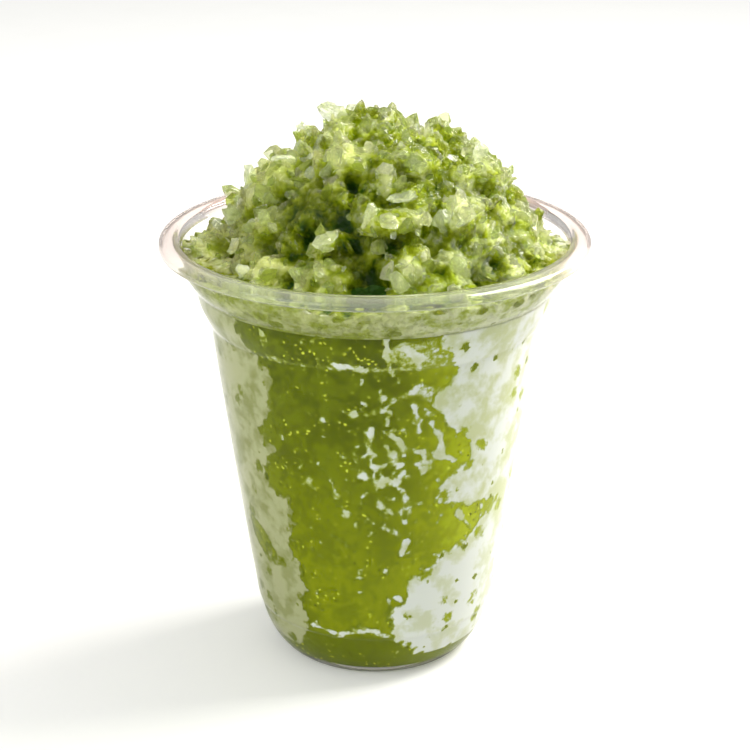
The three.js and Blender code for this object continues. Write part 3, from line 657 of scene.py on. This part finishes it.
# Hollows between the chunks where the syrup has run, each as its place and its radius. They are cut into the
# heap, and their darker green is partly the syrup and partly painted shade.
SHADED_WET_HOLLOWS = [
    ((-18.5, -19.5, 112.4), 4.8), ((-12.8, -25.0, 113.0), 5.4), ((-7.5, -24.5, 111.6), 4.4),
    ((-16.0, -25.5, 110.0), 4.4), ((-23.8, -23.4, 104.4), 4.4), ((-4.9, -30.0, 108.4), 3.4),
    ((-0.8, -34.5, 102.0), 4.2), ((-2.4, -35.5, 99.0), 3.8),
    ((-29.2, -7.4, 108.0), 3.2), ((-34.5, -9.3, 99.8), 2.8), ((-21.5, -11.7, 114.7), 2.8),
    ((-4.8, -16.9, 116.8), 2.8), ((4.6, -31.8, 106.5), 3.2), ((-19.8, -25.0, 103.5), 3.4),
    ((-14.2, -25.2, 106.8), 3.8), ((-17.6, -28.6, 99.0), 2.6), ((20.2, -25.6, 108.0), 2.6),
    ((14.5, -35.3, 103.2), 2.2), ((-9.7, -13.6, 117.9), 2.4), ((27.3, -29.0, 102.8), 2.4),
]


def facets(tree, place):
    """Height in metres of small flat facets, each tilted its own way."""
    height = 0.0
    for size in (3.0, 1.3, 0.7):
        facet = add(tree, "ShaderNodeTexVoronoi", {"Vector": place, "Scale": 1 / (size * MM)}).outputs
        off_centre = add(tree, "ShaderNodeVectorMath", {0: place, 1: facet["Position"]}, operation="SUBTRACT")
        tilt = add(tree, "ShaderNodeVectorMath", {0: facet["Color"], 1: (0.5,) * 3}, operation="SUBTRACT")
        slope = add(tree, "ShaderNodeVectorMath", {
            0: off_centre.outputs[0], 1: tilt.outputs[0]}, operation="DOT_PRODUCT").outputs["Value"]
        height = add(tree, "ShaderNodeMath", {0: height, 1: slope}, operation="ADD").outputs[0]
    return height


def varied(tree, level, *patterns):
    """A level raised and lowered by patterns that lie between 0 and 1, each with its share."""
    for pattern, share in patterns:
        centred = add(tree, "ShaderNodeMath", {0: pattern, 1: 0.5}, operation="SUBTRACT").outputs[0]
        raised = add(tree, "ShaderNodeMath", {0: centred, 1: share, 2: level}, operation="MULTIPLY_ADD")
        level = raised.outputs[0]
    return level


def icy_patterns(tree, place, patch_size, patch_detail):
    """What both kinds of heaped ice share: wide patches, fine grain, and the bump of broken facets."""
    patch = add(tree, "ShaderNodeTexNoise", {
        "Vector": place, "Scale": 1 / (patch_size * MM), "Detail": patch_detail}).outputs["Fac"]
    grain = add(tree, "ShaderNodeTexNoise", {
        "Vector": place, "Scale": 1 / (1.1 * MM), "Detail": 4, "Roughness": 0.65}).outputs
    bent = add(tree, "ShaderNodeVectorMath", {
        0: grain["Color"], 1: (0.5 * MM,) * 3, 2: place}, operation="MULTIPLY_ADD").outputs[0]
    bump = add(tree, "ShaderNodeBump", {"Height": facets(tree, bent), "Strength": 1.0, "Distance": 1.0})
    return patch, grain, bump.outputs["Normal"]


def pressed_ice(tree, bent, across):
    """Colour of the ice where it lies flat on the wall: milky clouds with small blots of syrup."""
    flattened = add(tree, "ShaderNodeMapping", {"Vector": bent, "Scale": (1, 1, 2.0)}).outputs["Vector"]
    cloud = add(tree, "ShaderNodeTexNoise", {
        "Vector": flattened, "Scale": 1 / (5 * MM), "Detail": 4, "Roughness": 0.6}).outputs["Fac"]
    blots = add(tree, "ShaderNodeTexVoronoi", {"Vector": flattened, "Scale": 1 / (5 * MM)}).outputs
    reach = eased(tree, 0.0, blots["Color"], 0.3, 0.9, 0.0, 0.4)
    inside = add(tree, "ShaderNodeMath", {0: reach, 1: blots["Distance"]}, operation="SUBTRACT").outputs[0]
    # Whiter and brighter towards +X, partly the whiter milk on that side and partly painted light.
    green = fade(tree, across, -10 * MM, 34 * MM, "#87942a", "#9dab44")
    white = fade(tree, across, -10 * MM, 34 * MM, "#aeb578", "#d6dcb8")
    milky = fade(tree, cloud, 0.36, 0.6, green, white)
    edged = fade(tree, inside, -0.06, 0.02, milky, "#8a9540")
    return fade(tree, inside, 0.0, 0.08, edged, "#76830f")


def soaked_ice():
    """Shaved ice full of syrup: pale on its crests and near white on its tips as painted highlights, deep
    green in its hollows as syrup and painted shade, paler on its left flank as painted light, each grain a
    little apart.
    """
    material, tree, place = new_material("soaked_ice")
    across = add(tree, "ShaderNodeSeparateXYZ", {"Vector": place}).outputs["X"]
    crest = add(tree, "ShaderNodeAttribute", attribute_name="crest").outputs["Fac"]
    contact = add(tree, "ShaderNodeAttribute", attribute_name="contact").outputs["Fac"]
    patch, grain, normal = icy_patterns(tree, place, 9, 3)
    bent, cells = bent_cells(tree, place, grain["Color"], 1.6, 1.7)
    uneven = varied(tree, crest, (patch, 1.2), (grain["Fac"], 0.85), (cells["Color"], 0.24))
    # Paler towards -X: painted light on the left flank, which the lamps leave in shade.
    level = eased(tree, uneven, across, -8 * MM, -30 * MM, 0.08, 0.34)
    # From deep green in the hollows, partly syrup and partly painted shade, to near white on the highest
    # tips, painted highlights.
    dark = fade(tree, level, 0.06, 0.34, "#365a1c", "#7e900c")
    body = fade(tree, level, 0.3, 0.56, dark, "#a4b02e")
    pale = fade(tree, level, 0.56, 0.84, body, "#d3da92")
    tipped = fade(tree, level, 0.88, 1.15, pale, "#eef1dc")
    pressed = pressed_ice(tree, bent, across)
    surface = add(tree, "ShaderNodeMix", {0: contact, 6: tipped, 7: pressed}, data_type="RGBA")
    ice = add(tree, "ShaderNodeBsdfPrincipled", {
        "Base Color": surface.outputs[2], "Roughness": 0.14, "IOR": ICE_INDEX, "Specular IOR Level": 0.5,
        "Normal": normal, "Subsurface Weight": 0.25, "Subsurface Radius": (1.0, 1.1, 0.45),
        "Subsurface Scale": 0.8 * MM,
    })
    add(tree, "ShaderNodeOutputMaterial", {"Surface": ice.outputs["BSDF"]})
    return material


def wet_crust():
    """The outermost ice: half clear, half frosted, broken into small flat facets that glint."""
    material, tree, place = new_material("wet_crust")
    across = add(tree, "ShaderNodeSeparateXYZ", {"Vector": place}).outputs["X"]
    crest = add(tree, "ShaderNodeAttribute", attribute_name="crest").outputs["Fac"]
    patch, grain, normal = icy_patterns(tree, place, 7, 4)
    uneven = varied(tree, crest, (patch, 1.5), (grain["Fac"], 0.85))
    # Paler towards -X as painted light on the shaded left flank, and a little towards +X as painted light on
    # the key lamp's side.
    left = eased(tree, uneven, across, -8 * MM, -30 * MM, 0.0, 0.34)
    level = eased(tree, left, across, 8 * MM, 24 * MM, 0.0, 0.1)
    # Deep green where the level is low, in the hollows, partly syrup and partly painted shade.
    deep = fade(tree, level, -0.14, 0.2, "#42661e", "#9aa30c")
    syrup = fade(tree, level, 0.14, 0.44, deep, "#c2ca42")
    frosty = fade(tree, across, -20 * MM, 14 * MM, "#fbf8c0", "#fbfae8")
    frost = fade(tree, level, 0.42, 0.72, syrup, frosty)
    end_clear(tree, frost, 0.8, ICE_INDEX, 0.06, normal, ICE_SHADOW_TINT)
    return material


def evaluated_mesh(source, name):
    """The object's mesh with its modifiers applied, as a new plain object."""
    bpy.context.view_layer.update()
    depsgraph = bpy.context.evaluated_depsgraph_get()
    mesh = bpy.data.meshes.new_from_object(source.evaluated_get(depsgraph))
    mesh.name = name
    return new_object(name, mesh)


def keep_main_island(mesh):
    """Drops the specks that the remesh leaves loose from the heap."""
    whole = bmesh.new()
    whole.from_mesh(mesh)
    start = min(whole.verts, key=lambda vertex: vertex.co.z)
    found, front = {start}, [start]
    while front:
        vertex = front.pop()
        for edge in vertex.link_edges:
            other = edge.other_vert(vertex)
            if other not in found:
                found.add(other)
                front.append(other)
    bmesh.ops.delete(whole, geom=[vertex for vertex in whole.verts if vertex not in found], context="VERTS")
    whole.to_mesh(mesh)
    whole.free()


def vectors(items, name):
    """A vector of every vertex or normal of a mesh, as an array."""
    flat = np.empty(len(items) * 3, np.float32)
    items.foreach_get(name, flat)
    return flat.reshape(-1, 3).astype(float)


def set_positions(mesh, points):
    """Moves the mesh's points to places in millimetres."""
    mesh.vertices.foreach_set("co", (points * MM).astype(np.float32).reshape(-1))
    mesh.update()


def smoothed(mesh, points, times):
    """Points averaged with their neighbours along the mesh's edges, again and again."""
    edges = np.empty(len(mesh.edges) * 2, np.int32)
    mesh.edges.foreach_get("vertices", edges)
    ends = edges.reshape(-1, 2)
    start = np.concatenate([ends[:, 0], ends[:, 1]])
    end = np.concatenate([ends[:, 1], ends[:, 0]])
    count = np.bincount(start, minlength=len(points))[:, None]
    for _ in range(times):
        total = np.stack([np.bincount(start, points[end, i], len(points)) for i in range(3)], axis=1)
        points = 0.5 * points + 0.5 * total / count
    return points


def crystals(points, size, seed):
    """Height of a surface of packed crystals: flat cells, each tilted its own way, with breaks between."""
    shift = Vector((5.9 * seed, -3.7 * seed, 8.3 * seed))
    heights = np.empty(len(points))
    for i, point in enumerate(points / size):
        place = Vector(point) + shift
        place += 0.25 * Vector([noise.noise(1.7 * place + away) for away in BENDS])
        centre = noise.voronoi(place)[1][0]
        facet = noise.cell_vector(centre * 977.0) - Vector((0.5, 0.5, 0.5))
        heights[i] = 0.25 * facet.x + 1.2 * (place - centre).dot(facet)
    return heights * size


def nearness(points, place, size, core=1.0):
    """1 at a place, sinking to 0 round it within about twice its size."""
    distance = np.linalg.norm((points - np.array(place)) / size, axis=1)
    return np.exp(-(core * distance) ** 2)


def at_radius(points, wanted, where):
    """Points moved straight in or out from the cup's axis to a wanted radius, where that is asked for."""
    radius = np.hypot(points[:, 0], points[:, 1])
    scale = np.where(where, wanted / np.maximum(radius, 1e-6), 1.0)
    return points * np.column_stack([scale, scale, np.ones(len(points))])


def shard_tree():
    """Irregular shards of ice spread over a surface, each half sunk in it and deformed by its place."""
    tree = bpy.data.node_groups.new("shards_of_ice", "GeometryNodeTree")
    kinds = {"Surface": "Geometry", "Divisions": "Int", "Seed": "Int", "Material": "Material"}
    names = ("Surface", "Spacing", "Smallest", "Largest", "Thinnest", "Lowest Place", "Lowest Crest",
             "Unevenness", "Divisions", "Seed", "Material")
    for name in names:
        tree.interface.new_socket(name, in_out="INPUT", socket_type="NodeSocket" + kinds.get(name, "Float"))
    tree.interface.new_socket("Shards", in_out="OUTPUT", socket_type="NodeSocketGeometry")
    given = add(tree, "NodeGroupInput").outputs
    place = add(tree, "GeometryNodeInputPosition").outputs["Position"]
    height = add(tree, "ShaderNodeSeparateXYZ", {"Vector": place}).outputs["Z"]
    crest = add(tree, "GeometryNodeInputNamedAttribute", {"Name": "crest"}, data_type="FLOAT").outputs[0]
    above = add(tree, "FunctionNodeCompare", {0: height, 1: given["Lowest Place"]}, operation="GREATER_THAN")
    raised = add(tree, "FunctionNodeCompare", {0: crest, 1: given["Lowest Crest"]}, operation="GREATER_THAN")
    chosen = add(tree, "FunctionNodeBooleanMath", {
        0: above.outputs[0], 1: raised.outputs[0]}, operation="AND")
    spread = add(tree, "GeometryNodeDistributePointsOnFaces", {
        "Mesh": given["Surface"], "Selection": chosen.outputs[0], "Distance Min": given["Spacing"],
        "Density Max": MOST_PER_SQUARE_METRE, "Seed": given["Seed"],
    }, distribute_method="POISSON")
    grain = add(tree, "GeometryNodeMeshIcoSphere", {
        "Radius": SHARD_RADIUS, "Subdivisions": given["Divisions"]})
    turn = add(tree, "FunctionNodeRandomValue", {
        0: (0, 0, 0), 1: (FULL_TURN,) * 3, "Seed": given["Seed"]}, data_type="FLOAT_VECTOR")
    low, high = [
        add(tree, "ShaderNodeCombineXYZ", {"X": given[wide], "Y": given[wide], "Z": given[thin]}).outputs[0]
        for wide, thin in (("Smallest", "Thinnest"), ("Largest", "Smallest"))
    ]
    size = add(tree, "FunctionNodeRandomValue", {
        0: low, 1: high, "Seed": given["Seed"]}, data_type="FLOAT_VECTOR")
    instances = add(tree, "GeometryNodeInstanceOnPoints", {
        "Points": spread.outputs["Points"], "Instance": grain.outputs["Mesh"],
        "Rotation": turn.outputs[0], "Scale": size.outputs[0],
    })
    tone = add(tree, "FunctionNodeRandomValue", {2: 0.0, 3: 1.0, "Seed": given["Seed"]}, data_type="FLOAT")
    toned = add(tree, "GeometryNodeStoreNamedAttribute", {
        "Geometry": instances.outputs["Instances"], "Name": "tone", "Value": tone.outputs[1],
    }, data_type="FLOAT", domain="INSTANCE")
    jagged = add(tree, "ShaderNodeTexNoise", {"Vector": place, "Scale": 1 / (JAG_SIZE * MM), "Detail": 2})
    centred = add(tree, "ShaderNodeVectorMath", {
        0: jagged.outputs["Color"], 1: (0.5,) * 3}, operation="SUBTRACT")
    offset = add(tree, "ShaderNodeVectorMath", {
        0: centred.outputs[0], "Scale": given["Unevenness"]}, operation="SCALE")
    shards = toned.outputs["Geometry"]
    for kind, inputs in (
        ("GeometryNodeRealizeInstances", {}),
        ("GeometryNodeSetPosition", {"Offset": offset.outputs[0]}),
        ("GeometryNodeSetShadeSmooth", {"Shade Smooth": False}),
        ("GeometryNodeSetMaterial", {"Material": given["Material"]}),
    ):
        shards = add(tree, kind, {"Geometry": shards, **inputs}).outputs["Geometry"]
    add(tree, "NodeGroupOutput", {0: shards})
    return tree


SHARD_TREE = shard_tree()
PLAIN_INPUTS = ("lowest_crest", "divisions", "seed", "material")


def scattered(name, surface, **values):
    """Shards on a copy of a surface, as a plain mesh piece. Lengths are given in millimetres."""
    carrier = new_object("carrier", surface.data.copy())
    modifier = carrier.modifiers.new("shards", "NODES")
    modifier.node_group = SHARD_TREE
    names = {item.name: item.identifier for item in SHARD_TREE.interface.items_tree if item.in_out == "INPUT"}
    for label, value in values.items():
        identifier = names[label.replace("_", " ").title()]
        modifier[identifier] = value if label in PLAIN_INPUTS else value * MM
    made = evaluated_mesh(carrier, name)
    bpy.data.objects.remove(carrier)
    return made


def lump(place, size, turn, seed):
    """A big chunk: a ball cut by random flat breaks, stretched and turned about Z."""
    bpy.ops.mesh.primitive_ico_sphere_add(subdivisions=4, radius=1)
    made = bpy.context.active_object
    corners = np.array([vertex.co for vertex in made.data.vertices])
    draw = np.random.default_rng(seed)
    for _ in range(CHUNK_BREAKS):
        facing = draw.normal(size=3)
        facing /= np.linalg.norm(facing)
        reach = draw.uniform(0.5, 0.82)
        over = np.clip(corners @ facing - reach, 0, None)
        corners -= over[:, None] * facing
    corners = corners * np.array(size) / 2 * CHUNK_SWELL
    cosine, sine = math.cos(math.radians(turn)), math.sin(math.radians(turn))
    spin = np.array([[cosine, -sine, 0], [sine, cosine, 0], [0, 0, 1]])
    set_positions(made.data, corners @ spin.T + np.array(place))
    return made


ice_material = soaked_ice()
heap_copy = new_object("heap_copy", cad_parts["shaved_ice"].data.copy())
weld = heap_copy.modifiers.new("weld", "WELD")
weld.merge_threshold = 0.001 * MM
grains = scattered(
    "packed_grains", heap_copy, spacing=2.8, smallest=2.0, largest=5.0, thinnest=1.0,
    lowest_place=HEAP_FOOT + 2.5, lowest_crest=-1.0, unevenness=3.0, divisions=1, seed=5,
    material=ice_material,
)
chunks = [lump(place, size, turn, seed) for seed, (place, size, turn) in enumerate(CHUNKS)]
rough_heap = evaluated_mesh(heap_copy, "rough_heap")
bpy.data.objects.remove(heap_copy)
with bpy.context.temp_override(
    active_object=rough_heap, selected_editable_objects=[rough_heap, grains, *chunks],
):
    bpy.ops.object.join()
remesh = rough_heap.modifiers.new("remesh", "REMESH")
remesh.mode = "VOXEL"
remesh.voxel_size = MASS_VOXEL * MM
remesh.use_smooth_shade = True
mass = evaluated_mesh(rough_heap, "ice_mass")
bpy.data.objects.remove(rough_heap)
keep_main_island(mass.data)

# The heap settles, its left flank draws in, and crystals and hollows are cut into it outwards from its heart.
points = smoothed(mass.data, vectors(mass.data.vertices, "co") / MM, 2)
out = points - np.array(HEAP_HEART)
out /= np.linalg.norm(out, axis=1)[:, None]
above = np.clip((points[:, 2] - HEAP_FOOT - 0.5) / 1.5, 0, 1)
points[:, 2] = HEAP_FOOT + (points[:, 2] - HEAP_FOOT) * SETTLED
clear_of_cup = np.clip((points[:, 2] - CLEAR_OF_CUP) / CLEAR_OVER, 0, 1)
points[:, :2] *= (1 - DRAWN_IN * clear_of_cup)[:, None]
points[:, 0] += FLANK_IN * np.clip((-points[:, 0] - FLANK_FROM) / FLANK_OVER, 0, 1) * clear_of_cup
relief = sum(share * crystals(points, size, seed) for seed, (size, share) in enumerate(CRYSTALS))
hollow = np.max([nearness(points, place, reach) for place, reach in SHADED_WET_HOLLOWS], axis=0)
relief -= HOLLOW_DEPTH * hollow
points = points + out * (relief * above)[:, None]
points += np.clip(HOLLOW_EASE * hollow, 0, 1)[:, None] * (smoothed(mass.data, points, 4) - points)
points = smoothed(mass.data, points, 1)

# It is pressed against the wall, further in front, where it was packed down.
wall = radius_inside(points[:, 2], SHEET - WETTED)
gap = wall - np.hypot(points[:, 0], points[:, 1])
bearing = np.degrees(np.arctan2(points[:, 0], -points[:, 1]))
in_front = np.clip((FRONT_HALF - np.abs(bearing)) / FRONT_OVER, 0, 1)
reach = PRESSED_BACK + (PRESSED_FRONT - PRESSED_BACK) * in_front
new_gap = np.where(gap < reach, np.clip(gap - FLUSH_SHARE * reach, 0, None) / LOOSE_SHARE, gap)
below = points[:, 2] < PRESSED_TOP_BACK + PRESSED_TOP_RISE * in_front
points = at_radius(points, wall - new_gap, below & (points[:, 2] > HEAP_FOOT - 1))
set_positions(mass.data, points)

# Crest says how pale each point is, and contact how flat it lies on the wall. Its darkening in the hollows is
# partly painted shade, and its paleness on crests partly painted highlight.
normals = vectors(mass.data.vertex_normals, "vector")
broad, close = [
    np.einsum("ij,ij->i", points - smoothed(mass.data, points, passes), normals)
    for passes in (BROAD_PASSES, CLOSE_PASSES)
]
on_chunk = np.max([nearness(points, place, size, CHUNK_CORE) for place, size, _ in CHUNKS], axis=0)
standing_out = CREST_LEVEL + CREST_BROAD * broad + CREST_CLOSE * close
crest = np.clip(standing_out + CREST_CHUNK * on_chunk - CREST_HOLLOW * hollow, -0.2, 1.1)
touching = np.clip((TOUCHES_FROM - new_gap) / TOUCHES_OVER, 0, 1) * (points[:, 2] < RIM_TOP - 0.5)
for label, values in (("crest", crest), ("contact", touching)):
    layer = mass.data.attributes.new(label, "FLOAT", "POINT")
    layer.data.foreach_set("value", values.astype(np.float32))

mass.data.materials.clear()
crust = new_object("ice_crust", mass.data.copy())
mass.data.materials.append(ice_material)
crust.data.materials.append(wet_crust())
standing = (np.clip((points[:, 2] - CLEAR_OF_CUP) / CRUST_OVER, 0, 1) * (1 - touching))[:, None]
core = smoothed(mass.data, points, 8) - CRUST_DEPTH * out
set_positions(crust.data, points - CRUST_TUCK * out * (1 - standing))
set_positions(mass.data, points + standing * (core - points))

# ---- Loose ice on the heap --------------------------------------------------------------------------
# Flakes, splinters and large clear chips that the shaver's blade leaves whole. They lie on the crust, half
# sunk in it, on its crests more than in its hollows.

WALL_CLEARANCE = 0.3

# Each kind as its piece, its finish (name, tinted and clear colour, see-through, roughness) and its sizes.
LOOSE_ICE = (
    ("ice_flakes", ("frosted_ice", "#b4c050", "#f4f5d8", 0.8, 0.08), dict(
        spacing=4.4, smallest=1.6, largest=4.4, thinnest=1.0, unevenness=4.5,
        lowest_place=HEAP_FOOT + 9, lowest_crest=0.42, divisions=1, seed=23)),
    ("ice_shards", ("clear_ice", "#c0cd74", "#f6f9ec", 0.9, 0.08), dict(
        spacing=3.3, smallest=0.9, largest=2.8, thinnest=0.5, unevenness=2.2,
        lowest_place=HEAP_FOOT + 8, lowest_crest=0.3, divisions=1, seed=8)),
    ("ice_crystals", ("clear_crystal", "#c6d080", "#f8faec", 0.75, 0.06), dict(
        spacing=9.0, smallest=2.6, largest=6.2, thinnest=1.6, unevenness=5.0,
        lowest_place=HEAP_FOOT + 9, lowest_crest=0.5, divisions=2, seed=3)),
)


def wet_ice(name, tinted, clear_tint, see_through, roughness):
    """Wet pieces of ice: frosted or nearly clear, some tinted by the syrup, more so where the crest is low,
    which carries its painted shade.
    """
    material, tree, place = new_material(name)
    tone = add(tree, "ShaderNodeAttribute", attribute_name="tone").outputs["Fac"]
    crest = add(tree, "ShaderNodeAttribute", attribute_name="crest").outputs["Fac"]
    level = add(tree, "ShaderNodeMath", {0: crest, 1: tone}, operation="ADD").outputs[0]
    frost = add(tree, "ShaderNodeTexNoise", {
        "Vector": place, "Scale": 1 / (0.9 * MM), "Detail": 3}).outputs["Fac"]
    bump = add(tree, "ShaderNodeBump", {"Height": frost, "Strength": 0.5, "Distance": 0.25 * MM})
    tint = fade(tree, level, 0.5, 1.6, tinted, clear_tint)
    end_clear(tree, tint, see_through, ICE_INDEX, roughness, bump.outputs["Normal"], ICE_SHADOW_TINT)
    return material


def kept_in_cup(piece):
    """The piece with what would reach into the wall moved back inside it."""
    points = vectors(piece.data.vertices, "co") / MM
    radius = np.hypot(points[:, 0], points[:, 1])
    most = radius_inside(np.minimum(points[:, 2], RIM_TOP - 2), SHEET + WALL_CLEARANCE)
    too_far = (points[:, 2] < RIM_TOP + 0.5) & (radius > most)
    set_positions(piece.data, at_radius(points, most, too_far))
    return piece


loose = [
    kept_in_cup(scattered(name, crust, material=wet_ice(*finish), **sizes))
    for name, finish, sizes in LOOSE_ICE
]
for piece in (mass, crust, *loose):
    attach(piece, "root")
    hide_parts("shaved_ice")
